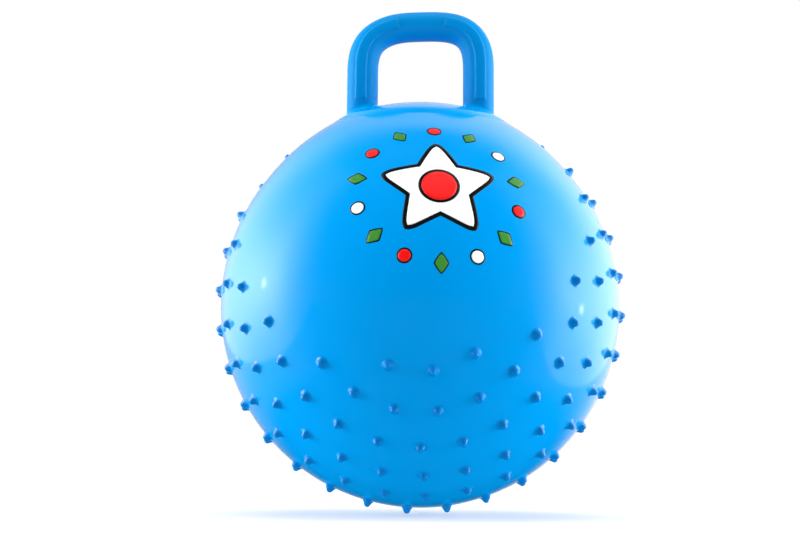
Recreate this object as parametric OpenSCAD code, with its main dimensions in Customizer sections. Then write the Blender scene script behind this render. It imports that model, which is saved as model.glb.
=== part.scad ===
// Hopper ball: an inflated vinyl ball to sit and bounce on, with blunt
// thorn-like nubs round a smooth front and an arched carrying handle on top.
// The handle stands across the part (X), the smooth front faces -Y, up is +Z,
// and the origin lies under the ball's centre, level with the lowest nubs.

/* [Ball] */
// Diameter of the inflated ball, without its nubs
ball_d = 450; // [350:5:650]
// Thickness of the moulded vinyl skin
skin_t = 1.2; // [0.8:0.1:4]

/* [Nubs] */
// Height of a nub above the skin
nub_h = 8; // [4:0.5:14]
// Width of a nub at its flared root
nub_root_d = 15; // [8:0.5:20]
// Distance between neighbours in one ring
nub_spacing = 43.6; // [30:0.2:80]
// Steps between rings from the front pole to the seam
ring_steps = 8; // [5:1:11]
// Turn of the whole nub pattern about the front-back axis
pattern_turn = 8; // [-20:1:20]
// Height angle of the middle of the smooth front
smooth_tilt = 40; // [20:1:50]
// Half angle of the smooth front
smooth_angle = 57; // [40:1:70]
// Half angle that stays bare round the handle
bare_angle = 34; // [31:1:50]

/* [Handle pad] */
// Diameter of the raised round pad that carries the handle
pad_d = 204; // [185:1:230]
// Height of the pad above the skin
pad_h = 8; // [3:0.5:12]
// Width of the pad's sloping rim
pad_rim = 9; // [6:0.5:20]

/* [Handle] */
// Outer width of the arch
handle_w = 170; // [150:1:180]
// Height of the arch above the ball's skin
handle_rise = 118; // [100:1:160]
// Thickness of the bar seen from the front
grip_t = 36; // [24:1:40]
// Depth of the bar from front to back
grip_depth = 40; // [28:1:50]
// Radius of the bends, at the middle of the bar
bend_r = 43; // [32:1:48]
// Wall of the hollow bar
grip_wall = 3; // [2:0.25:5]
// Reach and height of the flare where a leg meets the pad
foot_flare = 8; // [4:0.5:10]

/* [Grip ribs] */
// Width of a raised rib
rib_w = 12; // [8:0.5:16]
// Height of a rib above the bar
rib_h = 1.5; // [0.8:0.1:3]
// Bevel along a rib's edges
rib_bevel = 0.7; // [0.3:0.1:0.8]
// Plain stretch between the ribs at the top of the arch
rib_gap = 54; // [30:1:80]
// Height of a rib's lower end above the ball's top
rib_foot = 15; // [12:1:40]

/* [Valve] */
// Diameter of the valve seat where it shows in the skin
seat_d = 22; // [20:0.5:26]
// Diameter of the seat's flange behind the skin
flange_d = 34; // [28:0.5:44]
// Thickness of the flange at its edge
flange_t = 2; // [1.2:0.1:4]
// Outer diameter of the neck behind the flange
neck_d = 13; // [11.5:0.5:18]
// Length of the neck
neck_l = 12; // [8:0.5:20]
// Bore of the valve
bore_d = 8; // [6:0.25:9]
// Diameter of the recess for the plug's head
recess_d = 15; // [13:0.25:17]
// Depth of that recess below the skin's face
recess_depth = 2.4; // [1.5:0.1:3]

/* [Plug] */
// Diameter of the plug's head
head_d = 14; // [12:0.1:14.4]
// How far the head stands proud of the skin
head_proud = 0.8; // [0.2:0.1:1.5]
// Length of the stem under the head
stem_l = 19; // [12:0.5:26]
// Depth of the grooves between the stem's sealing rings
groove_depth = 0.5; // [0.2:0.05:0.8]
// Number of sealing rings on the stem
seal_rings = 5; // [2:1:7]
// Gap all round the stem in its bore
stem_gap = 0.05; // [0.02:0.01:0.09]

/* [Hidden] */

skin_blue = "#1296E4";
handle_blue = "#0A84D6";
rib_blue = "#2AA4EC";
valve_white = "#E9ECEE";
seat_blue = "#0E7FCB";

// Overrun of every cut past the face that it goes through
over = 1;

ball_r = ball_d / 2;
inner_r = ball_r - skin_t;
// Height of the ball's centre over the tips of the lowest nubs
centre_h = ball_r + nub_h;
crown_r = ball_r + pad_h;
pad_r = pad_d / 2;
half_t = grip_t / 2;
half_depth = grip_depth / 2;
// Centres of the two bends, in the handle's own plane
bend_x = handle_w / 2 - half_t - bend_r;
bend_z = ball_r + handle_rise - half_t - bend_r;
// Power of the bar's squarish oval section, and the points on it
section_power = 2.5;
section_points = 40;
// A nub from its root to its blunt tip: share of its half width, share of its height
nub_shares = [[0.78, 0.09], [0.6, 0.28], [0.46, 0.58], [0.34, 0.86], [0.2, 1], [0, 1]];
// The pad's rim from its foot to its crown: share of its width, share of its height
rim_shares = [[1, 0], [0.75, 0.38], [0.4, 0.8], [0, 1]];
// A foot's flare from the leg down to the crown, nearly a quarter circle, and on
// into the crown: share of its reach, share of its height
flare_shares = [[-0.04, 1], [0.12, 0.5], [0.48, 0.13], [1, 0], [1, -1]];
// Turn of each ring from the pole outwards, as a share of the step between nubs
ring_turn_shares = [0, 0, 0, 0, 0.5, 0.5, 0.5, 0, 0];
// The stem's pointed end, as shares of its own radius
point_shares = [0.75, 0.9];

// Unit vector at an angle from the front pole, turned from straight down
function skin_way(from_pole, turn) =
    [sin(from_pole) * sin(turn), -cos(from_pole), -sin(from_pole) * cos(turn)];

// Angle between two unit vectors
function apart(a, b) = acos(max(-1, min(1, a * b)));

// Height of a sphere of radius r above its own middle plane, at a distance out
function dome(r, out) = sqrt(r * r - out * out);

// Points of a squarish oval with half axes a and b
function oval(a, b) = [
    for (i = [0 : section_points - 1])
        let (c = cos(360 * i / section_points), s = sin(360 * i / section_points))
        [a * sign(c) * pow(abs(c), 2 / section_power), b * sign(s) * pow(abs(s), 2 / section_power)]
];

function ring_angle(ring) = 90 * ring / ring_steps;
function ring_nubs(ring) = round(2 * PI * ball_r * sin(ring_angle(ring)) / nub_spacing);
// Rings behind the seam repeat the turn of the rings in front of it
function ring_turn(ring) =
    ring_turn_shares[min(ring, 2 * ring_steps - ring) % len(ring_turn_shares)];

// Is there a nub here, outside the smooth front and the bare top?
function kept(way) =
    apart(way, skin_way(-smooth_tilt, pattern_turn)) >= smooth_angle
    && apart(way, [0, 0, 1]) >= bare_angle;

// One nub, standing on +Z, its root cut to the skin's face
module nub() {
    half_w = nub_root_d / 2;
    root = ball_r - skin_t;
    difference() {
        rotate_extrude($fn = 24)
            polygon(concat(
                [[0, root], [half_w, root]],
                [for (s = nub_shares) [s[0] * half_w, ball_r + s[1] * nub_h]]
            ));
        sphere(r = ball_r, $fn = 120);
    }
}

// The nubs of some rings, counted from the front pole to the back
module nub_rings(first, last) {
    for (ring = [first : last])
        for (i = [0 : ring_nubs(ring) - 1]) {
            turn = pattern_turn + 360 * (i + ring_turn(ring)) / ring_nubs(ring);
            if (kept(skin_way(ring_angle(ring), turn)))
                rotate([90 + ring_angle(ring), -turn, 0]) nub();
        }
}

// Lifts what is drawn round the ball's centre to its height over the floor
module at_centre() translate([0, 0, centre_h]) children();

// Turns what stands on +Z to the back pole, where the valve is
module at_back() at_centre() rotate([-90, 0, 0]) children();

// Nubs of the mould's front half, those on the seam included
module front_nubs() color(skin_blue) at_centre() nub_rings(1, ring_steps);

// Nubs of the mould's back half
module back_nubs() color(skin_blue) at_centre() nub_rings(ring_steps + 1, 2 * ring_steps - 1);

// The hollow skin, with the hole for the valve seat
module ball_skin() color(skin_blue) {
    at_centre() difference() {
        sphere(r = ball_r, $fn = 120);
        sphere(r = inner_r, $fn = 120);
        rotate([-90, 0, 0]) cylinder(d = seat_d, h = centre_h, $fn = 48);
    }
}

// Section of the bar, or of the hollow inside it
module bar_section(inset = 0) polygon(oval(half_t - inset, half_depth - inset));

// Ribs on the front and back of the bar: flat tops with bevelled edges
module rib_section() {
    top = half_depth + rib_h;
    half_w = rib_w / 2;
    for (side = [0, 1])
        mirror([0, side])
            difference() {
                polygon([
                    [-half_w, top - grip_wall - rib_h], [half_w, top - grip_wall - rib_h],
                    [half_w, top - rib_bevel], [half_w - rib_bevel, top],
                    [rib_bevel - half_w, top], [-half_w, top - rib_bevel]
                ]);
                bar_section();
            }
}

// Carries a section along the arch: two legs, two bends and the top bar.
// In the section, X points out of the arch and Y from back to front.
module along_arch() {
    for (side = [0, 1])
        mirror([side, 0, 0]) {
            translate([bend_x + bend_r, 0, 0]) linear_extrude(bend_z) children();
            translate([bend_x, 0, bend_z])
                rotate([90, 0, 0])
                    rotate_extrude(angle = 90, $fn = 96) translate([bend_r, 0]) children();
        }
    translate([0, 0, bend_z + bend_r])
        rotate([0, -90, 0]) linear_extrude(2 * bend_x, center = true) children();
}

// Flare of the leg on +X: rings that follow the leg's section and the crown,
// each lower and further out than the one before, closed by a point at each end
module leg_flare() {
    leg_x = bend_x + bend_r;
    n = section_points;
    last = len(flare_shares) - 1;
    rings = [
        for (s = flare_shares)
            for (p = oval(half_t + s[0] * foot_flare, half_depth + s[0] * foot_flare))
                let (x = leg_x + p[0])
                [x, p[1], dome(crown_r, norm([x, p[1]])) + s[1] * foot_flare]
    ];
    ends = [
        for (s = [flare_shares[0], flare_shares[last]])
            [leg_x, 0, dome(crown_r, leg_x) + s[1] * foot_flare]
    ];
    polyhedron(
        points = concat(rings, ends),
        faces = [
            for (j = [0 : n - 1])
                let (k = (j + 1) % n)
                each concat(
                    [[len(rings), k, j], [len(rings) + 1, last * n + j, last * n + k]],
                    [for (i = [0 : last - 1])
                        each [[i * n + j, i * n + k, (i + 1) * n + k],
                            [i * n + j, (i + 1) * n + k, (i + 1) * n + j]]]
                )
        ]
    );
}

// The hollow arch with its flared feet, cut to the pad under them
module handle() color(handle_blue) {
    at_centre() difference() {
        union() {
            along_arch() bar_section();
            for (side = [0, 1]) mirror([side, 0, 0]) leg_flare();
        }
        along_arch() bar_section(grip_wall);
        pad_form();
    }
}

// The four raised ribs, left and right on both faces of the handle
module grip_ribs() color(rib_blue) {
    at_centre() difference() {
        along_arch() rib_section();
        translate([0, 0, ball_r + handle_rise])
            cube([rib_gap, 2 * grip_depth, 2 * grip_t], center = true);
        translate([-handle_w / 2, -grip_depth, 0])
            cube([handle_w, 2 * grip_depth, ball_r + rib_foot]);
    }
}

// Form of the pad down to the ball's middle: a crowned top and a rounded rim
module pad_form() {
    rim_start = pad_r - pad_rim;
    intersection() {
        sphere(r = crown_r, $fn = 120);
        rotate_extrude($fn = 120)
            polygon(concat(
                [[0, 0], [pad_r, 0]],
                [for (s = rim_shares)
                    let (out = rim_start + s[0] * pad_rim)
                    [out, dome(ball_r + s[1] * pad_h, out)]],
                [[rim_start, crown_r + over], [0, crown_r + over]]
            ));
    }
}

// The round pad under the handle, lying on the ball
module handle_pad() color(skin_blue) {
    at_centre() difference() {
        pad_form();
        sphere(r = ball_r, $fn = 120);
    }
}

// Height of the flange's inner face, and of the neck's inner end
flange_floor = dome(inner_r, flange_d / 2) - flange_t;
neck_end = flange_floor - neck_l;
recess_floor = ball_r - recess_depth;

// The soft valve seat: a rim in the skin, a flange behind it and a neck
module valve_seat() color(seat_blue) {
    at_back() rotate_extrude($fn = 64)
        polygon([
            [bore_d / 2, neck_end], [neck_d / 2, neck_end],
            [neck_d / 2, flange_floor], [flange_d / 2, flange_floor],
            [flange_d / 2, flange_floor + flange_t], [seat_d / 2, dome(inner_r, seat_d / 2)],
            [seat_d / 2, dome(ball_r, seat_d / 2)], [recess_d / 2, dome(ball_r, recess_d / 2)],
            [recess_d / 2, recess_floor], [bore_d / 2, recess_floor]
        ]);
}

// The plug: a low domed head, and a stem with sealing rings and a pointed end
module valve_plug() color(valve_white) {
    stem_r = bore_d / 2 - stem_gap;
    ring_step = stem_l / (seal_rings + 1);
    at_back() union() {
        intersection() {
            sphere(r = ball_r + head_proud, $fn = 120);
            translate([0, 0, recess_floor]) cylinder(d = head_d, h = ball_r, $fn = 48);
        }
        translate([0, 0, recess_floor - stem_l])
            rotate_extrude($fn = 48)
                polygon(concat(
                    [[0, 0], [point_shares[0] * stem_r, 0],
                     [point_shares[1] * stem_r, ring_step / 2]],
                    [for (i = [1 : seal_rings])
                        for (s = [[0, -1 / 4], [1, -1 / 8], [1, 1 / 8], [0, 1 / 4]])
                        [stem_r - groove_depth * (1 - s[0]), (i + s[1]) * ring_step]],
                    [[stem_r - groove_depth, stem_l], [0, stem_l]]
                ));
    }
}

ball_skin();
front_nubs();
back_nubs();
handle_pad();
handle();
grip_ribs();
valve_seat();
valve_plug();
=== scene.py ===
# %% [markdown]
# # Hopper ball
# A hopper ball is one hollow moulding of soft vinyl, blown up through a valve. Nubs grip the floor, and
# an arched handle gives the rider something to hold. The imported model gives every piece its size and
# place. The cells below dress it: each piece gets a finer surface, worked out by a formula on a grid, and
# a finish that is named for the real material.

import bpy
import numpy as np
from mathutils import Matrix, Vector


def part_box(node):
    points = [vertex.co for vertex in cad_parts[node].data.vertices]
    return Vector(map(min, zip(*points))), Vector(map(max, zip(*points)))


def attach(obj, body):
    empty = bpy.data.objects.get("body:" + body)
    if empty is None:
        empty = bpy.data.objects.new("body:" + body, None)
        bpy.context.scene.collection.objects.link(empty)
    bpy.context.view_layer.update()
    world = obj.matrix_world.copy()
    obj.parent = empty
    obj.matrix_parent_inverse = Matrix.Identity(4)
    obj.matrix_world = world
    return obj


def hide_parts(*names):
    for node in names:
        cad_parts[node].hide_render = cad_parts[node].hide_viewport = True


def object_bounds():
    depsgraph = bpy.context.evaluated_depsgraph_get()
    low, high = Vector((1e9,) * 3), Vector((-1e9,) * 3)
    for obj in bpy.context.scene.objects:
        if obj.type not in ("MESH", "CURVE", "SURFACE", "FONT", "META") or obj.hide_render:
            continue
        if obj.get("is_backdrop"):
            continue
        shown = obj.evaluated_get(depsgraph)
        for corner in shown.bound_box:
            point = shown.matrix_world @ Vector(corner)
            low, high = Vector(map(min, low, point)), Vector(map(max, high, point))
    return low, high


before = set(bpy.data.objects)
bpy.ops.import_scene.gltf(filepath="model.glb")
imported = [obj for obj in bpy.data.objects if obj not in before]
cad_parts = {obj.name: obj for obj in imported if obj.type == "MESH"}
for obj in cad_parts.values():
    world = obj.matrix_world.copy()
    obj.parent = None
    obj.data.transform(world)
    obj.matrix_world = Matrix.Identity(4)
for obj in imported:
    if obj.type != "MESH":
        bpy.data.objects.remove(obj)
cad_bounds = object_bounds()
print("nodes in the frame:", ", ".join(sorted(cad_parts)))

# %% [markdown]
# The ball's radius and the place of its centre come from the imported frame, and most shapes below are
# worked out from them. A size that only the photograph gives is written in millimetres, times MM.
# Distances in the studio round the ball are written in metres, Blender's own unit.

# %% Sizes from the frame
MM = 0.001
# Keeps a division by zero away
nearly_zero = 1e-12

ball_low, ball_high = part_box("ball_skin")
ball_r = (ball_high.x - ball_low.x) / 2
centre = np.array([0, 0, (ball_high.z + ball_low.z) / 2])
print(f"ball {2 * ball_r / MM:.1f} mm across, centre {centre[2] / MM:.1f} mm up")

# %% [markdown]
# The camera comes first, because it decides how big everything looks. The photograph was taken from low
# down, a little under the ball's middle. The lens is long enough to keep the ball round. The camera first
# looks straight at the ball's centre. It then turns by the angles that put the centre on its own pixel.

# %% Camera
photo_size = (800, 533)
centre_pixel = (420, 306.7)
sensor_w = 36.0
lens = 62.0
camera_distance = 1.566
camera_height_angle = np.radians(-6)
camera_side_angle = np.radians(-0.4)
camera_roll = np.radians(0.4)


def camera_at(distance, side, height):
    """A point on a sphere round the ball's centre: side turns it to the right, height lifts it."""
    way = Vector((np.sin(side) * np.cos(height), -np.cos(side) * np.cos(height), np.sin(height)))
    return Vector(centre) + distance * way


pixel_focal = lens / sensor_w * photo_size[0]
turn_left = np.arctan((centre_pixel[0] - photo_size[0] / 2) / pixel_focal)
turn_up = np.arctan((centre_pixel[1] - photo_size[1] / 2) / pixel_focal)
camera = bpy.data.objects.new("camera", bpy.data.cameras.new("camera"))
bpy.context.collection.objects.link(camera)
camera.data.lens = lens
camera.data.sensor_width = sensor_w
place = camera_at(camera_distance, camera_side_angle, camera_height_angle)
aim = (Vector(centre) - place).to_track_quat("-Z", "Y").to_matrix()
aim = aim @ Matrix.Rotation(turn_left, 3, "Y") @ Matrix.Rotation(turn_up, 3, "X")
aim = aim @ Matrix.Rotation(camera_roll, 3, "Z")
camera.matrix_world = Matrix.Translation(place) @ aim.to_4x4()
bpy.context.scene.camera = camera
print(f"camera {place.z / MM:.0f} mm above the floor, {camera_distance / MM:.0f} mm from the centre")

# %% [markdown]
# Every surface here is a grid of rows and columns. Columns run round a shape and close on themselves. The
# first and last rows are closed by one point each, or the rows close on themselves too, as on a ring. A
# script could ask Blender for spheres and cylinders and bend those, but a grid keeps the formula in sight
# and leaves no open seam.

# %% Grid to mesh
def faces_of(rows, cols, ring):
    """Quads between neighbouring rows of a grid. Unless it is a ring, fans of triangles close its ends."""
    grid = np.arange(rows * cols).reshape(rows, cols)
    if ring:
        grid = np.vstack([grid, grid[:1]])
    right = np.roll(grid, -1, axis=1)
    quads = np.stack([grid[:-1], right[:-1], right[1:], grid[1:]], axis=-1).reshape(-1, 4)
    if ring:
        return quads, np.zeros((0, 3), int)
    start = np.full(cols, rows * cols)
    first_fan = np.stack([start, right[0], grid[0]], axis=-1)
    last_fan = np.stack([start + 1, grid[-1], right[-1]], axis=-1)
    return quads, np.concatenate([first_fan, last_fan])


def volume_of(points, quads, tris):
    """Signed volume of a closed shell: a sixth of the sum of a . (b x c) over its triangles."""
    corners = np.concatenate([tris, quads[:, [0, 1, 2]], quads[:, [0, 2, 3]]])
    a, b, c = (points[corners[:, k]] for k in range(3))
    return np.einsum("ij,ij->", a, np.cross(b, c)) / 6


def shells(name, rings, ends=None):
    """One mesh of closed shells: rings is (shells, rows, columns, 3), and ends is two arrays (shells, 3).

    The faces point outwards: where the first shell's signed volume is below zero, they are all turned round.
    """
    count, rows, cols = rings.shape[:3]
    points = rings.reshape(count, rows * cols, 3)
    if ends is not None:
        points = np.concatenate([points, ends[0][:, None], ends[1][:, None]], axis=1)
    quads, tris = faces_of(rows, cols, ends is None)
    if volume_of(points[0], quads, tris) < 0:
        quads, tris = quads[:, ::-1], tris[:, ::-1]
    step = (np.arange(count) * points.shape[1])[:, None, None]
    quads = (quads + step).reshape(-1, 4)
    tris = (tris + step).reshape(-1, 3)
    corners = np.concatenate([quads.ravel(), tris.ravel()])
    starts = np.concatenate([np.arange(len(quads)) * 4, len(quads) * 4 + np.arange(len(tris)) * 3])
    mesh = bpy.data.meshes.new(name)
    mesh.vertices.add(points.shape[0] * points.shape[1])
    mesh.vertices.foreach_set("co", points.astype(np.float32).ravel())
    mesh.loops.add(len(corners))
    mesh.loops.foreach_set("vertex_index", corners.astype(np.int32))
    mesh.polygons.add(len(starts))
    mesh.polygons.foreach_set("loop_start", starts.astype(np.int32))
    mesh.update(calc_edges=True)
    mesh.validate()
    mesh.shade_smooth()
    piece = bpy.data.objects.new(name, mesh)
    bpy.context.collection.objects.link(piece)
    print(f"{name}: {count} shell(s), {len(mesh.polygons)} faces")
    return piece

# %% [markdown]
# Three short formulas come back all the time: the angles of a grid's columns, and two ways to go from 0
# to 1 without a corner. A plain straight ramp would leave a crease at both of its ends, and a glossy
# surface shows every crease.

# %% Angles and easing
def angles(count):
    """Evenly spaced angles round a full turn, the first at 0."""
    return np.arange(count) * 2 * np.pi / count


def ease(x):
    """0 below 0, 1 above 1, and 3x^2 - 2x^3 between."""
    x = np.clip(x, 0, 1)
    return x * x * (3 - 2 * x)


def soft_step(x, width):
    """0 to 1 over a width whose middle is at x = 0, with eased ends."""
    return ease(x / width + 0.5)


print("ease at 0.25, 0.5 and 0.75:", ease(np.array([0.25, 0.5, 0.75])))

# %% [markdown]
# The nodes of a material are added by one small function. It sets the node's own properties, and fills
# each input with a value or with a link from another node. Colours are written as a paint chart gives
# them, in sRGB hex, and are turned to the linear values that a renderer works in.

# %% Node and colour helpers
def linear(hex_colour):
    """sRGB hex to linear RGBA: c / 12.92 below 0.04045, else ((c + 0.055) / 1.055) ^ 2.4."""
    srgb = np.array([int(hex_colour[k:k + 2], 16) / 255 for k in (1, 3, 5)])
    rgb = np.where(srgb < 0.04045, srgb / 12.92, ((srgb + 0.055) / 1.055) ** 2.4)
    return (*rgb, 1)


def add_node(tree, kind, inputs=None, **settings):
    """Adds one node. An input is a value, or another node's output socket to link from."""
    node = tree.nodes.new(kind)
    for key, value in settings.items():
        setattr(node, key, value)
    for key, value in (inputs or {}).items():
        if isinstance(value, bpy.types.NodeSocket):
            tree.links.new(value, node.inputs[key])
        else:
            node.inputs[key].default_value = value
    return node


def new_tree(name):
    """A material with an empty node tree, and its output node."""
    material = bpy.data.materials.new(name)
    material.use_nodes = True
    material.node_tree.nodes.clear()
    return material, material.node_tree, add_node(material.node_tree, "ShaderNodeOutputMaterial")


print(f"mid grey #808080 is {linear('#808080')[0]:.2f} in linear light")

# %% [markdown]
# The skin is plasticised PVC, spun in a hot mould and blown up afterwards. The mould gives it a high
# gloss, and the stretch of blowing up leaves a faint orange peel. The pigment is mixed through, so the
# colour is even but for slight clouds where the wall is thinner. Three noises carry this: broad clouds in
# the colour, a middle one in the roughness, and a fine one in the bump. The solid nubs look deeper than
# the thin skin, and a ring of that deeper tone round each root is painted shade. The handle's matt grip
# runs out into the skin's tone at its feet, so a material can blend into a second look. The ends of the
# feet also have the skin's full shine, and that is one number for a whole material, so they get a
# material of their own.

# %% Vinyl
cloud_size = 70 * MM
smudge_size = 18 * MM
peel_size = 6 * MM
peel_depth = 0.02 * MM
vinyl_ior = 1.5
# Specular level: 0.5 is all that the IOR gives, and the fine texture of the grip scatters most of it
full_shine, grip_shine = 0.5, 0.05
# Nearly all values of a noise lie between these two
noise_low, noise_high = 0.35, 0.65


def set_blend(piece, values):
    """Stores at each point how much of its material's second look it takes, from 0 to 1."""
    blend = piece.data.attributes.new("blend", "FLOAT", "POINT")
    blend.data.foreach_set("value", values.astype(np.float32))


def moulded_vinyl(name, tones, roughness, second, shine):
    """Soft vinyl from a polished mould: two close pigment tones, and a roughness between two values.

    second is another tone and roughness, which it takes where the mesh has a blend of 1.
    """
    material, tree, output = new_tree(name)
    place = add_node(tree, "ShaderNodeTexCoord").outputs["Object"]
    clouds = add_node(tree, "ShaderNodeTexNoise", {"Vector": place, "Scale": 1 / cloud_size, "Detail": 2})
    colour = add_node(tree, "ShaderNodeMix", {
        "Factor": clouds.outputs["Fac"], 6: linear(tones[0]), 7: linear(tones[1])}, data_type="RGBA")
    blend = add_node(tree, "ShaderNodeAttribute", attribute_name="blend").outputs["Fac"]
    colour = add_node(tree, "ShaderNodeMix", {
        "Factor": blend, 6: colour.outputs[2], 7: linear(second[0])}, data_type="RGBA")
    smudges = add_node(tree, "ShaderNodeTexNoise", {"Vector": place, "Scale": 1 / smudge_size, "Detail": 3})
    rough = add_node(tree, "ShaderNodeMapRange", {
        "Value": smudges.outputs["Fac"], "From Min": noise_low, "From Max": noise_high,
        "To Min": roughness[0], "To Max": roughness[1]})
    rough = add_node(tree, "ShaderNodeMix", {
        "Factor": blend, 2: rough.outputs["Result"], 3: second[1]}, data_type="FLOAT")
    peel = add_node(tree, "ShaderNodeTexNoise", {"Vector": place, "Scale": 1 / peel_size, "Detail": 1})
    bump = add_node(tree, "ShaderNodeBump", {"Height": peel.outputs["Fac"], "Distance": peel_depth})
    vinyl = add_node(tree, "ShaderNodeBsdfPrincipled", {
        "Base Color": colour.outputs[2], "Roughness": rough.outputs[0], "IOR": vinyl_ior,
        "Specular IOR Level": shine, "Normal": bump.outputs["Normal"]})
    tree.links.new(vinyl.outputs["BSDF"], output.inputs["Surface"])
    return material


# Second look of the nubs: the deeper tone of solid vinyl, and at half strength round each root painted shade
deep_tone_and_root_shade_look = ("#007ACA", 0.13)
foot_look = ("#0094E3", 0.07)
grip_tones, grip_roughness = ("#0084CA", "#0089D0"), (0.34, 0.4)
skin_vinyl = moulded_vinyl("glossy_skin_vinyl", ("#0092E0", "#0096E5"), (0.05, 0.09), deep_tone_and_root_shade_look, full_shine)
grip_vinyl = moulded_vinyl("matt_grip_vinyl", grip_tones, grip_roughness, foot_look, grip_shine)
foot_vinyl = moulded_vinyl("polished_foot_vinyl", grip_tones, grip_roughness, foot_look, full_shine)
seat_vinyl = moulded_vinyl("soft_seat_vinyl", ("#0082CC", "#0088D2"), (0.3, 0.36), deep_tone_and_root_shade_look, full_shine)
print("vinyl:", skin_vinyl.name, grip_vinyl.name, foot_vinyl.name, seat_vinyl.name)

# %% [markdown]
# The skin of a full ball is nearly a sphere. The photograph shows where it isn't: the plan is a touch
# slimmer than the height, and the thick pad under the handle holds the skin up round it. In front the
# skin runs straight and taut up to the pad, and at the handle's two feet it swells into shoulders. The
# shape is a distance from the centre for every direction, because nubs, pad and print then all sit on the
# same formula.

# %% Shape of the skin
slim_share = 0.005
shoulder_rise = 5.8 * MM
shoulder_start, shoulder_end = np.radians([40, 64])
shoulder_ease = 0.15
taut_start, taut_end = np.radians([54.5, 64.5])
skin_rows, skin_cols = 120, 240
skin_t = 1.2 * MM


def skin_radius(way):
    """Distance from the ball's centre to the skin along unit vectors.

    A sphere, less a small share times the squared cosine of the height angle. At the sides a shoulder is
    added, a ramp in the height angle with a soft start. In front the skin leaves the sphere along a
    straight line, R / cos(angle past the start). The share of the sides is the squared sine of the turn
    from the front.
    """
    height = np.arcsin(np.clip(way[..., 2], -1, 1))
    flat = np.maximum(way[..., 0] ** 2 + way[..., 1] ** 2, nearly_zero)
    side = way[..., 0] ** 2 / flat
    along = (height - shoulder_start) / (shoulder_end - shoulder_start)
    ramp = np.minimum((along + np.sqrt(along ** 2 + shoulder_ease ** 2)) / 2, 1)
    taut = ball_r * (1 / np.cos(np.clip(height, taut_start, taut_end) - taut_start) - 1)
    return ball_r * (1 - slim_share * np.cos(height) ** 2) + shoulder_rise * side * ramp + taut * (1 - side)


def from_front(pole_angle, turn):
    """Unit vectors at an angle from the front pole, turned from straight down towards +X."""
    parts = [np.sin(pole_angle) * np.sin(turn), -np.cos(pole_angle), -np.sin(pole_angle) * np.cos(turn)]
    return np.stack(np.broadcast_arrays(*parts), axis=-1)


def on_skin(way, lift=0):
    """Points at a height over the skin, along unit vectors."""
    return centre + way * (skin_radius(way) + lift)[..., None]


print(f"skin: {2 * skin_radius(from_front(0, 0)) / MM:.1f} mm from front to back")

# %% [markdown]
# The skin is a shell with a real wall, open only at the back pole where the valve sits. Its rows run from
# the front pole to the rim of the valve hole, over the rim, and back along the inside. The mould's two
# halves met in the plane between front and back, so a fine parting line stands there, and rows are closer
# on each side of it.

# %% Ball skin
hole_r = 11 * MM
inner_rows = 40
parting_h = 0.15 * MM
parting_w = 0.9 * MM
# Close rows beside the parting line: how far they reach, in widths of the line, and how many they are
parting_reach, parting_rows = 2, 9


def ball_skin():
    """Outer rows from the front pole to the valve hole, then inner rows back, a wall thinner.

    The parting line is a height times e^(-x^2), with x the distance from its plane in widths of the line.
    """
    last = np.pi - np.arcsin(hole_r / ball_r)
    parting = np.pi / 2 + np.linspace(-parting_reach, parting_reach, parting_rows) * parting_w / ball_r
    pole_angle = np.unique(np.concatenate([np.linspace(0, last, skin_rows)[1:], parting]))
    inner = np.linspace(last, 0, inner_rows)[:-1]
    way = from_front(np.concatenate([pole_angle, inner])[:, None], angles(skin_cols)[None])
    off = (pole_angle - np.pi / 2) * ball_r / parting_w
    lift = np.concatenate([parting_h * np.exp(-off ** 2), np.full(len(inner), -skin_t)])
    front = np.array([[0.0, -1.0, 0.0]])
    ends = (on_skin(front), on_skin(front, -skin_t))
    return shells("ball_skin_vinyl", on_skin(way, lift[:, None])[None], ends)


skin = ball_skin()
skin.data.materials.append(skin_vinyl)
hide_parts("ball_skin")
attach(skin, "ball")

# %% [markdown]
# The nubs stand in rings round the front-back axis, 43.6 mm apart in each ring. The front is left smooth
# for the print, and the top for the handle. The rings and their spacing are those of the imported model, so
# each nub stands over its solid.

# %% Places of the nubs
nub_spacing = 43.6 * MM
# Rings from the front pole to the widest one, and the rings of each half
ring_steps = 8
front_rings, back_rings = (1, 8), (9, 15)
pattern_turn = np.radians(8)
smooth_tilt, smooth_angle, bare_angle = np.radians([40, 57, 34])
smooth_middle = from_front(smooth_tilt, np.pi + pattern_turn)
# Turn of each ring from the pole outwards, as a share of the step between its nubs
ring_turn_shares = [0, 0, 0, 0, 0.5, 0.5, 0.5, 0, 0]


def nub_ways(first, last):
    """Directions of the nubs of some rings, without those in the smooth front and the bare top."""
    ways = []
    for ring in range(first, last + 1):
        pole_angle = np.pi / 2 * ring / ring_steps
        count = round(2 * np.pi * ball_r * np.sin(pole_angle) / nub_spacing)
        offset = ring_turn_shares[min(ring, 2 * ring_steps - ring)]
        turn = pattern_turn + 2 * np.pi * (np.arange(count) + offset) / count
        ways.append(from_front(pole_angle, turn))
    ways = np.concatenate(ways)
    smooth = ways @ smooth_middle > np.cos(smooth_angle)
    bare = ways[:, 2] > np.cos(bare_angle)
    return ways[~smooth & ~bare]


print("nubs:", len(nub_ways(*front_rings)), "in front,", len(nub_ways(*back_rings)), "behind")

# %% [markdown]
# A nub is a flared root, a cone and a blunt tip, and each of its points is lifted off the skin's own
# formula, so every root meets the skin all round. There are hundreds, so each has few faces and smooth
# shading does the rest, but for a sharp edge round the root, where it dips into the skin. They could be
# instances of one mesh, but as one grid they follow the skin's shape.

# %% Nubs
nub_h = 7.2 * MM
nub_root_r = 7.5 * MM
nub_sunk = 0.15 * MM
nub_inside = 1.8 * MM
nub_cols = 12
# From the root to the blunt tip: share of the root's radius, share of the height, and blend of the nubs'
# deeper tone. The half blend on the second ring is painted shade round the root
nub_shares = np.array([
    [1.03, 0, 0], [0.8, 0.08, 0.5], [0.61, 0.3, 1], [0.47, 0.62, 1], [0.3, 0.9, 0.9]])
tip_blend = 0.8


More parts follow.
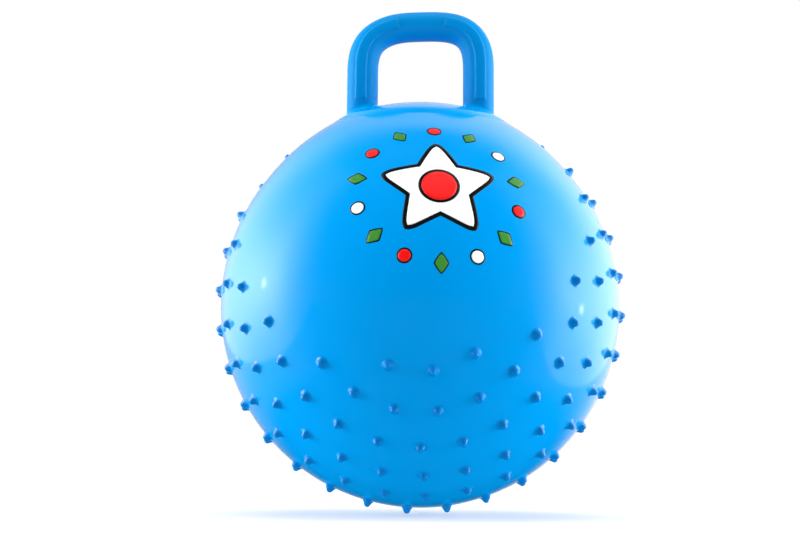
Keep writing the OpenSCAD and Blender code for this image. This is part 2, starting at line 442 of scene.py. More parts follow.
def nubs(name, ways):
    """Rows of points round each direction, out by a share of the root's radius, up by one of the height.

    Each nub ends in one point inside the skin and one at its tip.
    """
    across = np.cross(ways, [0.0, 1.0, 0.0])
    across /= np.linalg.norm(across, axis=-1, keepdims=True)
    up = np.cross(ways, across)
    turn = angles(nub_cols)
    spread = across[:, None] * np.cos(turn)[:, None] + up[:, None] * np.sin(turn)[:, None]
    out = nub_shares[:, 0] * nub_root_r / ball_r
    way = ways[:, None, None] + spread[:, None] * out[:, None, None]
    way /= np.linalg.norm(way, axis=-1, keepdims=True)
    lift = nub_shares[:, 1] * nub_h
    lift[0] = -nub_sunk
    rings = on_skin(way, lift[:, None])
    field = shells(name, rings, (on_skin(ways, -nub_inside), on_skin(ways, nub_h)))
    # The nubs take the deeper tone of solid vinyl. The half blend on the ring past the root is painted shade
    deep_tone_and_root_shade = np.concatenate([np.repeat(nub_shares[:, 2], nub_cols), [0, tip_blend]])
    edges = np.empty(2 * len(field.data.edges), np.int32)
    field.data.edges.foreach_get("vertices", edges)
    on_root = (edges.reshape(-1, 2) % len(deep_tone_and_root_shade) < nub_cols).all(axis=1)
    field.data.attributes.new("sharp_edge", "BOOLEAN", "EDGE").data.foreach_set("value", on_root)
    set_blend(field, np.tile(deep_tone_and_root_shade, len(ways)))
    return field


for name, node, rings in [("nubs_front", "front_nubs", front_rings), ("nubs_back", "back_nubs", back_rings)]:
    field = nubs(name, nub_ways(*rings))
    field.data.materials.append(skin_vinyl)
    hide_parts(node)
    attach(field, "ball")

# %% [markdown]
# The pad is a round, thicker part of the moulding that stiffens the skin under the handle. Its rim rises
# from the skin with a clear crease and rounds off into a domed crown. It is worked out in plan: for a
# distance and a turn about the upright axis, the formula gives the distance to the ball's centre.

# %% Handle pad
pad_foot_r = 108 * MM
pad_rim_w = 8.4 * MM
pad_edge_r = 101 * MM
pad_round = 0.25
crown_lift = 7 * MM
rim_h = 2.4 * MM
# The rim's height fades in with the sine of the turn from the side: from this sine, over this much of it
rim_fade_start, rim_fade = 0.3, 0.3
# Further inside than this many widths of the rim, only the crown counts
rim_widths = 3
pad_sunk = 1 * MM
under_shares = np.array([[1.0], [0.6], [0.2]])
plan_steps = 3
pad_rows, pad_cols = 48, 160


def skin_in_plan(out, turn):
    """Distance from the centre to the skin at a plan radius, in steps that take the height from the last."""
    radius = np.full(np.broadcast(out, turn).shape, ball_r)
    for _ in range(plan_steps):
        level = np.clip(out / radius, 0, 1)
        rise = np.sqrt(1 - level ** 2)
        way = np.stack(np.broadcast_arrays(level * np.cos(turn), level * np.sin(turn), rise), axis=-1)
        radius = skin_radius(way)
    return radius


def pad_radius(out, turn):
    """Distance from the centre to the top of the pad, or to the skin outside it.

    The crown goes with the square of the plan radius from its middle down to the rim's upper edge, which
    stands over the skin in front and behind and is flush with it at the sides. The rim is a straight slope
    up to that edge, joined by the smooth smaller of the two: (a + b - sqrt((a - b)^2 + round^2)) / 2.
    """
    skin_r = skin_in_plan(out, turn)
    rim_share = ease((np.abs(np.sin(turn)) - rim_fade_start) / rim_fade)
    rim_r = skin_in_plan(pad_edge_r, turn) + rim_h * rim_share
    crown_r = ball_r + crown_lift + (rim_r - ball_r - crown_lift) * (out / pad_edge_r) ** 2
    step = np.maximum((pad_foot_r - out) / (pad_foot_r - pad_edge_r), 0)
    share = (step + 1 - np.sqrt((step - 1) ** 2 + (pad_round * np.minimum(step, 1)) ** 2)) / 2
    return skin_r + (crown_r - skin_r) * np.where(step > rim_widths, 1, share)


def in_plan(out, turn, radius):
    """Points at a plan radius and turn, at a distance from the ball's centre."""
    up = np.sqrt(radius ** 2 - out ** 2)
    parts = np.broadcast_arrays(out * np.cos(turn), out * np.sin(turn), up)
    return centre + np.stack(parts, axis=-1)


def handle_pad():
    """Top rows from the middle to the foot, closer at the rim, then rows back inside the skin."""
    turn = angles(pad_cols)[None]
    foot = np.full_like(turn, pad_foot_r)
    rim = foot - pad_rim_w
    inner = np.linspace(0, 1, pad_rows // 2 + 1)[1:, None] * rim
    outer = rim + np.linspace(0, 1, pad_rows // 2)[1:, None] * (foot - rim)
    out = np.concatenate([inner, outer])
    top = in_plan(out, turn, pad_radius(out, turn))
    back = under_shares * foot
    under = in_plan(back, turn, skin_in_plan(back, turn) - pad_sunk)
    ends = [centre + [0, 0, ball_r + crown_lift], centre + [0, 0, ball_r - pad_sunk]]
    return shells("handle_pad_vinyl", np.concatenate([top, under])[None], [e[None] for e in ends])


pad = handle_pad()
pad.data.materials.append(skin_vinyl)
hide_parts("handle_pad")
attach(pad, "ball")

# %% [markdown]
# The handle is a hollow arch. Its middle line is half of a superellipse, the squarish curve between an
# ellipse and a box, on two straight legs. In the photograph the right bend is tighter and the bar droops
# a little to the left, as soft mouldings do. A squarish oval is carried along it. Each foot flares into
# the pad with a fillet, and four ribs stand on the front and back faces.

# %% Middle line of the handle
arch_half = 67.2 * MM
arch_shift = -0.8 * MM
arch_top = ball_r + 119.7 * MM
arch_bend_h = 58 * MM
leg_half_t, top_half_t = 17.9 * MM, 16.4 * MM
bar_half_depth = 18 * MM
left_power, right_power = 2.8, 3.25
droop = 2.3 * MM
leg_end = ball_r + 11 * MM
arch_rows = 220
# The left power takes over from the right one from this share of the arch, over this much of it
power_start, power_run = 0.3, 0.4
# Points of the first, uneven line for each point of the even one
fine = 4


def arch_line(count):
    """Middle line of the handle over the ball's centre: count points (x, z), evenly spaced.

    x = a |cos t|^(2/n) with the sign of cos t, and z = b sin(t)^(2/n). n goes smoothly from its right to
    its left value over the top, and z gains a droop times x/a times sin(t)^2.
    """
    t = np.linspace(0, np.pi, fine * count)
    power = right_power + (left_power - right_power) * ease((t / np.pi - power_start) / power_run)
    x = arch_half * np.sign(np.cos(t)) * np.abs(np.cos(t)) ** (2 / power)
    base = arch_top - top_half_t - arch_bend_h
    z = base + arch_bend_h * np.sin(t) ** (2 / power) + droop * x / arch_half * np.sin(t) ** 2
    x = arch_shift + np.concatenate([[arch_half], x, [-arch_half]])
    z = np.concatenate([[leg_end], z, [leg_end]])
    length = np.concatenate([[0], np.cumsum(np.hypot(np.diff(x), np.diff(z)))])
    even = np.linspace(0, length[-1], count)
    return np.interp(even, length, x), np.interp(even, length, z), even


line_x, line_z, line_s = arch_line(arch_rows)
print(f"handle: middle line {line_s[-1] / MM:.0f} mm long, top {(centre[2] + arch_top) / MM:.0f} mm up")

# %% [markdown]
# What is carried along the line is an oval, a little squarish like the bar of the real handle. The ribs
# are a lift on its front and back faces, so they stay part of the same moulding. They could be pieces of
# their own, but then a seam would run round each.

# %% Oval and ribs
bar_power = 2.25
bar_cols = 144
rib_half = 6 * MM
rib_h = 1.7 * MM
rib_soft = 1.1 * MM
rib_shift = 1.5 * MM
rib_top_x = 27 * MM
rib_foot_z = ball_r + 12.6 * MM


def bar_oval(cols):
    """Squarish oval: half width times |cos|^(2/p) and half depth times |sin|^(2/p), each with its sign."""
    c, s = np.cos(angles(cols)), np.sin(angles(cols))
    out = leg_half_t * np.sign(c) * np.abs(c) ** (2 / bar_power)
    deep = bar_half_depth * np.sign(s) * np.abs(s) ** (2 / bar_power)
    return out, deep


def rib_lift(out, x, z):
    """Height of the ribs over the bar: full within their width and length, with soft edges."""
    wide = soft_step(rib_half - np.abs(out - rib_shift), rib_soft)
    long_top = soft_step(np.abs(x) - rib_top_x, rib_soft)
    long_foot = soft_step(z - rib_foot_z, rib_soft)
    return rib_h * wide * long_top * long_foot


print(f"bar: {2 * leg_half_t / MM:.1f} mm wide and {2 * bar_half_depth / MM:.1f} mm deep without its ribs")

# %% [markdown]
# At each foot the rows run on down to the pad and flare out on it, further to the front and back than to
# the sides, as the fillet in the mould does. Each column starts where the oval leaves it and asks the
# pad's own formula for the height, so the flare lies on the pad all round.

# %% Feet
foot_side, foot_front, foot_h = 13 * MM, 32 * MM, 9.5 * MM
foot_rows = 12
foot_past = 1.15
foot_sunk = 0.8 * MM
# Rows between the leg and the flare, as shares of the way that is left
drop_shares = [0.75, 0.5, 0.25]


def handle_foot(row, side):
    """Rows from the leg's last row down to the pad, ending in a flare: a quarter ellipse foot_h high.

    It spreads away from the leg's middle, by foot_side to the sides and by foot_front to the front and back,
    with the squared share of that way between the two. The last row runs on a little and dips into the pad.
    """
    middle = np.array([arch_shift + side * arch_half, 0.0])
    spread = row[:, :2] - middle
    spread /= np.linalg.norm(spread, axis=-1, keepdims=True)
    spread *= foot_side + (foot_front - foot_side) * spread[:, 1:] ** 2
    turn = np.concatenate([np.zeros(len(drop_shares)), np.linspace(0, np.pi / 2, foot_rows)])
    reach = np.append(1 - np.cos(turn), foot_past)
    lift = np.append(foot_h * (1 - np.sin(turn)), -foot_sunk)
    above = np.concatenate([drop_shares, np.zeros(foot_rows + 1)])
    plan = row[None, :, :2] + spread[None] * reach[:, None, None]
    out = np.hypot(plan[..., 0], plan[..., 1])
    top = np.sqrt(pad_radius(out, np.arctan2(plan[..., 1], plan[..., 0])) ** 2 - out ** 2)
    z = top + lift[:, None]
    z = z + above[:, None] * (row[None, :, 2] - z)
    return np.concatenate([plan, z[..., None]], axis=-1)

# %% [markdown]
# Now the oval is placed square to the middle line at every row, and the feet are joined to its two ends.
# On the feet the grip's tone and roughness change into the skin's, and the faces past that change take
# the polished material.

# %% Handle
# The oval's front and back faces are where its depth is past this share of the most
face_share = 0.8
# The blend into the foot's look is full after 1 / 2.2 of the foot's rows
blend_speed = 2.2


def handle():
    """The oval carried along the middle line, square to it, with ribs on its faces and a foot at each end.

    The oval is a little slimmer over the top. The blend into the foot's look is eased along the foot's rows.
    """
    out, deep = bar_oval(bar_cols)
    dx, dz = np.gradient(line_x, line_s), np.gradient(line_z, line_s)
    size = np.hypot(dx, dz)
    away = np.stack([dz / size, np.zeros_like(dx), -dx / size], axis=-1)
    lift = rib_lift(out[None], line_x[:, None], line_z[:, None])
    face = np.abs(deep[None]) > bar_half_depth * face_share
    deep = deep[None] + np.sign(deep[None]) * lift * face
    middle = np.stack([line_x, np.zeros_like(line_x), line_z], axis=-1)
    slim = 1 + (top_half_t / leg_half_t - 1) * ease((line_z - arch_top + arch_bend_h) / arch_bend_h)
    bar = middle[:, None] + away[:, None] * (slim[:, None] * out)[..., None]
    bar[..., 1] += deep
    first = handle_foot(bar[0], 1)[::-1]
    last = handle_foot(bar[-1], -1)
    rings = centre + np.concatenate([first, bar, last])
    ends = [ring.mean(axis=0)[None] for ring in (rings[0], rings[-1])]
    piece = shells("handle_vinyl", rings[None], ends)
    to_skin = ease(np.linspace(0, blend_speed, len(last)))
    blend = np.concatenate([to_skin[::-1], np.zeros(len(bar)), to_skin])
    set_blend(piece, np.concatenate([np.repeat(blend, bar_cols), [1, 1]]))
    piece.data.materials.append(grip_vinyl)
    piece.data.materials.append(foot_vinyl)
    polished = np.repeat((blend[:-1] == 1) & (blend[1:] == 1), bar_cols)
    polished = np.concatenate([polished, np.ones(2 * bar_cols, bool)])
    piece.data.polygons.foreach_set("material_index", polished.astype(np.int32))
    return piece


arch = handle()
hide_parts("handle", "grip_ribs")
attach(arch, "ball")

# %% [markdown]
# The valve is in the middle of the back. A soft seat is bonded into the skin, and a hard white plug is
# pushed into it. Both are turned shapes, so each is a closed outline carried round the front-back axis.

# %% Turned shapes
valve_cols = 64
edge_r = 0.5 * MM


def turned(name, outline, closed_ring):
    """Carries an outline of (radius, distance behind the centre) round the front-back axis."""
    outline = np.asarray(outline)
    if not closed_ring:
        first, last, outline = outline[0], outline[-1], outline[1:-1]
    turn = angles(valve_cols)
    radius, back = outline[:, :1], outline[:, 1:]
    parts = np.broadcast_arrays(radius * np.cos(turn), back, radius * np.sin(turn))
    rings = centre + np.stack(parts, axis=-1)
    if closed_ring:
        return shells(name, rings[None])
    ends = [(centre + [0, p[1], 0])[None] for p in (first, last)]
    return shells(name, rings[None], ends)


def corner(radius, back, toward, steps=4):
    """A rounded corner: a quarter circle of edge_r whose two ends lie along the signs in toward."""
    a = np.linspace(0, np.pi / 2, steps)
    r = radius + toward[0] * edge_r * (1 - np.sin(a))
    b = back + toward[1] * edge_r * (1 - np.cos(a))
    return list(zip(r, b))


def dome(radius, out):
    """Height of a sphere over its own middle plane at a distance out: sqrt(radius^2 - out^2)."""
    return np.sqrt(radius ** 2 - out ** 2)


print(f"turned shapes: {valve_cols} columns, edges rounded by {edge_r / MM:.1f} mm")

# %% [markdown]
# The seat has a recess for the plug's head, a bore for its stem, and a flange that spreads inside the
# skin, so the air's own pressure holds it in. Its outline goes once round: over the lip, down the bore,
# and back along the neck and the flange.

# %% Valve seat
seat_r = hole_r
recess_r = 7.5 * MM
recess_depth = 2.4 * MM
bore_r = 4 * MM
neck_r = 6.5 * MM
neck_l = 12 * MM
flange_r = 17 * MM
flange_t = 2 * MM
back_r = ball_r * (1 - slim_share)
floor_y = back_r - recess_depth
flange_y = dome(back_r - skin_t, flange_r)
seat_outline = (
    corner(recess_r, dome(back_r, recess_r), (1, -1))[::-1]
    + [(recess_r, floor_y), (bore_r, floor_y), (bore_r, flange_y - flange_t - neck_l),
       (neck_r, flange_y - flange_t - neck_l), (neck_r, flange_y - flange_t),
       (flange_r, flange_y - flange_t), (flange_r, flange_y), (seat_r, dome(back_r - skin_t, seat_r)),
       (seat_r, dome(back_r, seat_r))])
seat = turned("valve_seat_vinyl", seat_outline, True)
seat.data.materials.append(seat_vinyl)
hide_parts("valve_seat")
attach(seat, "ball")

# %% [markdown]
# The plug is hard white polyethylene. Its head is a low dome that fills the recess, and sealing rings run
# along the stem to a blunt point. It is the one piece that moves: a thumbnail lifts it and it slides out.

# %% Plug
plug_head_r = 7 * MM
plug_proud = 0.8 * MM
plug_edge = 0.6 * MM
stem_r = 3.95 * MM
stem_l = 19 * MM
tip_r = 0.75 * stem_r
groove = 0.5 * MM
groove_sharpness = 0.9
seal_rings = 5
ringed_share = 0.94
head_rows, edge_rows, stem_rows = 12, 7, 90

plastic, tree, output = new_tree("plug_polyethylene")
waxy = add_node(tree, "ShaderNodeBsdfPrincipled", {
    "Base Color": linear("#E9ECEE"), "Roughness": 0.35, "Subsurface Weight": 0.2,
    "Subsurface Radius": (1, 1, 1), "Subsurface Scale": 1 * MM})
tree.links.new(waxy.outputs["BSDF"], output.inputs["Surface"])


def plug_outline():
    """Head from the middle of its dome over a round edge, the floor of the recess, and the ringed stem.

    The grooves between the rings follow an eased cosine along the stem, full up to the first groove.
    """
    out = np.linspace(0, 1, head_rows) * (plug_head_r - plug_edge)
    head = np.stack([out, dome(back_r + plug_proud, out)], axis=-1)
    a = np.linspace(0, np.pi / 2, edge_rows)[1:]
    edge = head[-1] + plug_edge * np.stack([np.sin(a), np.cos(a) - 1], axis=-1)
    along = np.linspace(0, ringed_share, stem_rows)
    wave = ease(0.5 + groove_sharpness * np.cos(2 * np.pi * along * (seal_rings + 1)))
    radius = stem_r - groove * np.where(along < 0.5 / (seal_rings + 1), 1, wave)
    stem = np.stack([radius, floor_y - along * stem_l], axis=-1)
    tip = [[tip_r, floor_y - stem_l], [0, floor_y - stem_l]]
    return np.concatenate([head, edge, [[plug_head_r, floor_y]], stem, tip])


plug = turned("valve_plug_plastic", plug_outline(), False)
plug.data.materials.append(plastic)
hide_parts("valve_plug")
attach(plug, "plug")

# %% [markdown]
# The front is printed with screen inks made for vinyl. An ink lies flat on a smooth skin, so it has no
# pattern of its own, and it is a little less glossy than the polished skin.

# %% Inks
def screen_ink(name, colour):
    """Vinyl screen ink: even in colour and a little less glossy than the skin."""
    material, tree, output = new_tree(name)
    ink = add_node(tree, "ShaderNodeBsdfPrincipled", {
        "Base Color": linear(colour), "Roughness": 0.24, "IOR": 1.48})
    tree.links.new(ink.outputs["BSDF"], output.inputs["Surface"])
    return material


black = screen_ink("black_screen_ink", "#101114")
white = screen_ink("white_screen_ink", "#F4F6F8")
red = screen_ink("red_screen_ink", "#F01414")
green = screen_ink("green_screen_ink", "#3E8A34")
print("inks:", black.name, white.name, red.name, green.name)

# %% [markdown]
# The print is a white star with a black outline, a red disc in the middle of it, and a ring of small dots
# and diamonds. Each shape is one formula, the distance from its middle to its edge for every turn, and a
# border is the same formula a little larger.

# %% Outlines of the print
star_r, star_notch_r = 62 * MM, 31 * MM
# Round tips: where they cut the points off, as a share of the star's radius, and how squarely
tip_share, tip_power = 0.93, 14
disc_r, dot_r = 18 * MM, 6.4 * MM
diamond_half_w, diamond_half_h = 6.4 * MM, 9.6 * MM
diamond_power = 1.15


def star(turn, border):
    """Outline of a five-pointed star: straight edges p / cos(t - b), with t the turn from the nearest tip.

    The tips are rounded by the smooth smaller of that and a circle: (edge^-n + circle^-n)^(-1/n).
    """
    step = np.pi / 5
    t = np.abs((turn - np.pi / 2 + step) % (2 * step) - step)
    b = np.arctan2(star_r - star_notch_r * np.cos(step), star_notch_r * np.sin(step))
    edge = (star_r * np.cos(b) + border) / np.cos(t - b)
    limit = star_r * tip_share + border
    return (edge ** -tip_power + limit ** -tip_power) ** (-1 / tip_power)


def diamond(turn, border):
    """Outline of a diamond with round corners: (|cos t / a|^n + |sin t / b|^n)^(-1/n), n a little over 1."""
    wide = np.abs(np.cos(turn) / (diamond_half_w + border))
    high = np.abs(np.sin(turn) / (diamond_half_h + border))
    return (wide ** diamond_power + high ** diamond_power) ** (-1 / diamond_power)


def disc(radius):
    """Outline of a disc: the same radius all round, plus the border."""
    return lambda turn, border: radius + border + 0 * turn


to_tip, to_notch = star(np.array([np.pi / 2, -np.pi / 2]), 0) / MM
print(f"star: {to_tip:.1f} mm from its middle to a tip, {to_notch:.1f} mm to a notch")

# %% [markdown]
# A patch is drawn flat and laid on the skin with its distance and way from the middle of the print kept,
# as a transfer film would lie. It stands a hair over the vinyl, and each layer a hair over the one below.
# It could be painted in a material, but as thin solids its edges stay crisp at any distance.

# %% Laying ink on the ball
print_height, print_turn = np.radians([27, 5])
ink_step = 0.08 * MM
ink_inside = 2 * MM


def flat_way(flat):
    """Direction on the ball of a point (right, up) on the flat print, its distance from the middle kept."""
    level = np.cos(print_height)
    front = np.array([np.sin(print_turn) * level, -np.cos(print_turn) * level, np.sin(print_height)])
    right = np.cross(front, [0.0, 0.0, 1.0])
    right /= np.linalg.norm(right)
    up = np.cross(right, front)
    far = np.linalg.norm(flat, axis=-1, keepdims=True)
    along = (flat[..., :1] * right + flat[..., 1:] * up) / np.maximum(far, nearly_zero)
    return front * np.cos(far / ball_r) + along * np.sin(far / ball_r)


def patches(name, ink, middles, turns, outline, border, layer, grid):
    """Closed patches of ink: rows of the outline from the middle out, then the outline just inside the skin.

    Each patch is an outline with its border, turned on its own middle, and its layer gives its height.
    """
    rows, cols = grid
    a = angles(cols)
    reach = outline(a, border)[None, None, :, None] * (np.arange(1, rows + 1) / rows)[None, :, None, None]
    turn = a[None, :] + turns[:, None]
    ray = np.stack([np.cos(turn), np.sin(turn)], axis=-1)
    way = flat_way(middles[:, None, None] + reach * ray[:, None])
    top = on_skin(way, ink_step * (layer + 1))
    rings = np.concatenate([top, on_skin(way[:, -1:], -ink_step)], axis=1)
    middle = flat_way(middles)
    piece = shells(name, rings, (on_skin(middle, ink_step * (layer + 1)), on_skin(middle, -ink_inside)))
    piece.data.materials.append(ink)
    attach(piece, "ball")

# %% [markdown]
# Every colour lies on a black patch that is a border wider. The star and the disc share one middle, and
# the motifs stand round them in a ring, each turned so that it points away from the middle.

# %% Print
star_border = 4.5 * MM
disc_border = 3.2 * MM
motif_border = 1.8 * MM
motif_ring_r = 86 * MM
motif_count = 14
# Rows and columns of each patch
star_grid, disc_grid, motif_grid = (16, 120), (6, 64), (3, 32)


def bordered(name, ink, middles, turns, outline, border, layer, grid):
    """Black patches as wide as the border, and the coloured ones on them."""
    patches(f"print_{name}_border", black, middles, turns, outline, border, layer, grid)
    patches(f"print_{name}", ink, middles, turns, outline, 0, layer + 1, grid)


middle, upright = np.zeros((1, 2)), np.zeros(1)
bordered("star", white, middle, upright, star, star_border, 0, star_grid)
bordered("disc", red, middle, upright, disc(disc_r), disc_border, 2, disc_grid)

lean = angles(motif_count)
place_turn = lean + np.pi / 2
places = motif_ring_r * np.stack([np.cos(place_turn), np.sin(place_turn)], axis=-1)
# Each kind of motif: its name, ink and outline, its first place in the ring, and the step to its next one
kinds = [("diamond", green, diamond, 1, 2), ("red_dot", red, disc(dot_r), 0, 4),
         ("white_dot", white, disc(dot_r), 2, 4)]
for kind, ink, outline, first, every in kinds:
    some = slice(first, None, every)
    bordered(kind, ink, places[some], lean[some], outline, motif_border, 0, motif_grid)

# %% [markdown]
# The rest is the studio. Its floor, walls and backdrop are open grids, and some of them glow by a number
# at each of their points, so a soft light is worked out by a formula as the shapes are. Area lamps could
# stand there, but their mirror images have hard, straight edges, and the photograph shows soft ones.

# %% Studio paper
def open_grid(name, points, values=None):
    """A mesh of an open grid (rows, columns, 3), with an optional number at each point, its glow."""
    rows, cols = points.shape[:2]
    grid = np.arange(rows * cols).reshape(rows, cols)
    quads = np.stack([grid[:-1, :-1], grid[:-1, 1:], grid[1:, 1:], grid[1:, :-1]], axis=-1).reshape(-1, 4)
    mesh = bpy.data.meshes.new(name)
    mesh.from_pydata(points.reshape(-1, 3).tolist(), [], quads.tolist())
    if values is not None:
        glow = mesh.attributes.new("glow", "FLOAT", "POINT")
        glow.data.foreach_set("value", values.astype(np.float32).ravel())
    piece = bpy.data.objects.new(name, mesh)
    bpy.context.collection.objects.link(piece)
    piece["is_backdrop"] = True
    print(f"{name}: {len(quads)} faces")
    return piece


def glowing(name, clear):
    """Paper that gives off the light of its glow numbers. Clear paper also shows what is behind it."""
    material, tree, output = new_tree(name)
    level = add_node(tree, "ShaderNodeAttribute", attribute_name="glow").outputs["Fac"]
    light = add_node(tree, "ShaderNodeEmission", {"Strength": level})
    if clear:
        through = add_node(tree, "ShaderNodeBsdfTransparent")
        light = add_node(tree, "ShaderNodeAddShader", {0: light.outputs[0], 1: through.outputs[0]})
    tree.links.new(light.outputs[0], output.inputs["Surface"])
    return material

# %% [markdown]
# The ball stands between two soft white walls, each with a lamp behind it. They are what it mirrors as
# tall pale shapes: each has a soft front edge, a bowed lower edge, a slow fade round the lamp and the
# bright lamp itself. Only mirrors see the walls. Their light on matt surfaces comes from the world at the
# end.

# %% Tent walls
wall_r = 0.57
wall_low, wall_top = -0.2, 1.5
wall_rows, wall_cols = 180, 120
wall_start, wall_end = np.radians([46, 156])
# The glow fades in from the front edge and from below, and out to the back edge and the top
front_fade, back_fade = np.radians(30), 0.6
low_fade, top_fade = 0.15, 0.5
lamp_w, lamp_h = 14 * MM, 14 * MM
edge_soft = 30 * MM
below_share = 0.3
back_bow = 0.35


def tent_wall(name, side, level, spread, lamp, spot, edge):
    """A curved wall round the ball's axis. side is -1 for the left and 1 for the right.

    lamp and spot are places on it (angle, height). The glow is level / (1 + u^2 + v^2), with u and v the
    distances from the lamp in units of spread, plus spot[2] e^(-d^2) for the bright lamp, with d the
    distance from its spot in lamp widths and heights. It is eased in and out at the four edges. Below a
    bowed lower edge only a share of it is left. That edge is edge[0] high at the lamp, and rises from there
    by edge[1] times the squared angle, less towards the back.
    """
    angle = np.linspace(wall_start, wall_end, wall_cols)[None]
    z = np.linspace(wall_low, wall_top, wall_rows)[:, None]
    parts = np.broadcast_arrays(side * wall_r * np.sin(angle), -wall_r * np.cos(angle), z)
    off = angle - lamp[0]
    bow = np.minimum(off, 0) ** 2 + back_bow * np.maximum(off, 0) ** 2
    above = soft_step(z - edge[0] - edge[1] * bow, edge_soft)
    edges = ease((angle - wall_start) / front_fade) * ease((wall_end - angle) / back_fade)
    edges = edges * ease((z - wall_low) / low_fade) * ease((wall_top - z) / top_fade)
    edges = edges * (below_share + (1 - below_share) * above)
    far = (off / spread[0]) ** 2 + ((z - lamp[1]) / spread[1]) ** 2
    near = ((angle - spot[0]) * wall_r / lamp_w) ** 2 + ((z - spot[1]) / lamp_h) ** 2
    glow = level * edges / (1 + far) + spot[2] * np.exp(-near)
    wall = open_grid(name, np.stack(parts, axis=-1), glow)
    wall.data.materials.append(glowing(name + "_paper", True))
    wall.visible_camera = False
    wall.visible_diffuse = False


tent_wall("tent_left", -1, level=5, spread=(np.radians(25), 0.2), lamp=(np.radians(80), 0.31),
          spot=(np.radians(80.4), 0.304, 10), edge=(0.022, 0.62))
tent_wall("tent_right", 1, level=3.3, spread=(np.radians(30), 0.25), lamp=(np.radians(82), 0.27),
          spot=(np.radians(83.4), 0.222, 9), edge=(-0.075, 1.0))

# %% [markdown]
# The floor is a white sheet, lit from below as in a studio: it glows at matt surfaces, so the ball's
# underside isn't dark. Seen straight on it is matt white with some plain white in it, so the ball's
# shadow stays faint, and far from the ball it turns all plain white, so that it has no horizon. Light
# Path tells the material which kind of ray asks. Mirrors on the ball don't see the floor but the dark
# cloth of the next step.

# %% Floor
floor_half = 9.0
white_near, white_far = 0.7, 1.5
white_share = 0.4
table_glow = 1.1


def seen_directly(tree):
    """1 for a ray from the camera, a mirror or clear glass, and 0 for one that lights a matt surface."""
    ray = add_node(tree, "ShaderNodeLightPath").outputs
    seen = add_node(tree, "ShaderNodeMath", {
        0: ray["Is Camera Ray"], 1: ray["Is Glossy Ray"]}, operation="MAXIMUM")
    seen = add_node(tree, "ShaderNodeMath", {
        0: seen.outputs[0], 1: ray["Is Transmission Ray"]}, operation="MAXIMUM")
    return seen.outputs[0]


corners = np.array([-floor_half, floor_half])
flat = np.stack([*np.meshgrid(corners, corners), np.zeros((2, 2))], axis=-1)
floor = open_grid("floor", flat)

floor_paint, tree, output = new_tree("white_floor")
place = add_node(tree, "ShaderNodeTexCoord").outputs["Object"]
out = add_node(tree, "ShaderNodeVectorMath", {0: place}, operation="LENGTH").outputs["Value"]
far = add_node(tree, "ShaderNodeMapRange", {
    "Value": out, "From Min": white_near, "From Max": white_far, "To Min": white_share})
matt = add_node(tree, "ShaderNodeBsdfDiffuse", {"Color": linear("#FFFFFF")})
plain = add_node(tree, "ShaderNodeEmission", {"Strength": 1})
top = add_node(tree, "ShaderNodeMixShader", {
    0: far.outputs["Result"], 1: matt.outputs[0], 2: plain.outputs[0]})
glow = add_node(tree, "ShaderNodeEmission", {"Strength": table_glow})
both = add_node(tree, "ShaderNodeMixShader", {
    0: seen_directly(tree), 1: glow.outputs[0], 2: top.outputs[0]})
tree.links.new(both.outputs[0], output.inputs["Surface"])
# Rays find a glow this wide by themselves, so it isn't sampled as a lamp
floor_paint.cycles.emission_sampling = "NONE"
floor.data.materials.append(floor_paint)
floor.visible_glossy = False

# %% [markdown]
# What the ball mirrors beyond the walls is a wide dark cloth: round the camera, over the top and below
# the table's edge. Behind the ball it gives way to the pale backdrop, lighter on the right. It is one
# round grid, and only mirrors see it, so it takes no light from the object.

# %% Dark surround
surround_r = 3.0
surround_rows, surround_cols = 60, 97
backdrop_left, backdrop_right = 0.45, 1.0
# Angles from the front pole between which the backdrop takes over from the cloth
backdrop_start, backdrop_full = np.radians([92, 125])
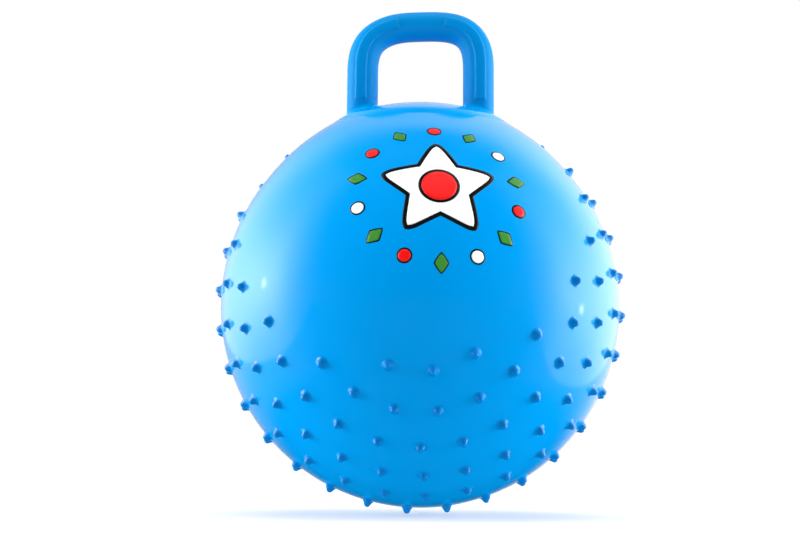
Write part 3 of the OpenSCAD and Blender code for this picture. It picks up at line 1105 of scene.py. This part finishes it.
# Its lower end and its fades, in the upward part of a direction
backdrop_low, backdrop_low_fade, backdrop_top_fade = -0.45, 0.4, 0.1
polar = np.linspace(0, np.pi, surround_rows)[:, None]
around = np.linspace(0, 2 * np.pi, surround_cols)[None]
way = from_front(polar, around)
backdrop = backdrop_left + (backdrop_right - backdrop_left) * soft_step(way[..., 0], 1)
backdrop = backdrop * ease((polar - backdrop_start) / (backdrop_full - backdrop_start))
backdrop = backdrop * ease((way[..., 2] - backdrop_low) / backdrop_low_fade)
backdrop = backdrop * ease((1 - way[..., 2]) / backdrop_top_fade)
surround = open_grid("dark_surround", centre + surround_r * way, backdrop)
surround.data.materials.append(glowing("surround_cloth", False))
surround.data.materials[0].cycles.emission_sampling = "NONE"
surround.visible_camera = False
surround.visible_diffuse = False
surround.visible_shadow = False
surround.visible_transmission = False

# %% [markdown]
# The world is the tent's light on the ball: a wide lobe from each side and a weaker one from above, each
# the eighth power of one part of the direction, so that the front stays darker. Seen straight on or
# mirrored it is plain white, which makes the background white without any more light on the ball.

# %% World
fill_above, fill_sides = 4.6, 13.5
world = bpy.data.worlds.new("white_surround")
bpy.context.scene.world = world
world.use_nodes = True
tree = world.node_tree
tree.nodes.clear()
way = add_node(tree, "ShaderNodeTexCoord").outputs["Generated"]
square = add_node(tree, "ShaderNodeVectorMath", {0: way, 1: way}, operation="MULTIPLY").outputs[0]
fourth = add_node(tree, "ShaderNodeVectorMath", {0: square, 1: square}, operation="MULTIPLY").outputs[0]
eighth = add_node(tree, "ShaderNodeVectorMath", {0: fourth, 1: fourth}, operation="MULTIPLY").outputs[0]
level = add_node(tree, "ShaderNodeVectorMath", {
    0: eighth, 1: (fill_sides, 0, fill_above)}, operation="DOT_PRODUCT").outputs["Value"]
white = add_node(tree, "ShaderNodeBackground", {"Color": linear("#FFFFFF"), "Strength": 1})
fill = add_node(tree, "ShaderNodeBackground", {"Color": linear("#FFFFFF"), "Strength": level})
both = add_node(tree, "ShaderNodeMixShader", {
    0: seen_directly(tree), 1: fill.outputs[0], 2: white.outputs[0]})
output = add_node(tree, "ShaderNodeOutputWorld", {"Surface": both.outputs[0]})
world.cycles.sampling_method = "NONE"
bpy.context.scene.view_settings.view_transform = "Standard"
print("world:", world.name, "fill from above and the sides", fill_above, fill_sides)

# %% [markdown]
# The looks must keep the size of the imported model. Both boxes are kept in metres, and their sizes are
# printed in millimetres.

# %% Sizes before and after
visual_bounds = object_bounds()
sizes = {"cad": [list(map(float, c)) for c in cad_bounds],
         "visual": [list(map(float, c)) for c in visual_bounds]}
for name, (low, high) in sizes.items():
    print(name, "box in mm:", [round((h - l) / MM, 1) for l, h in zip(low, high)])
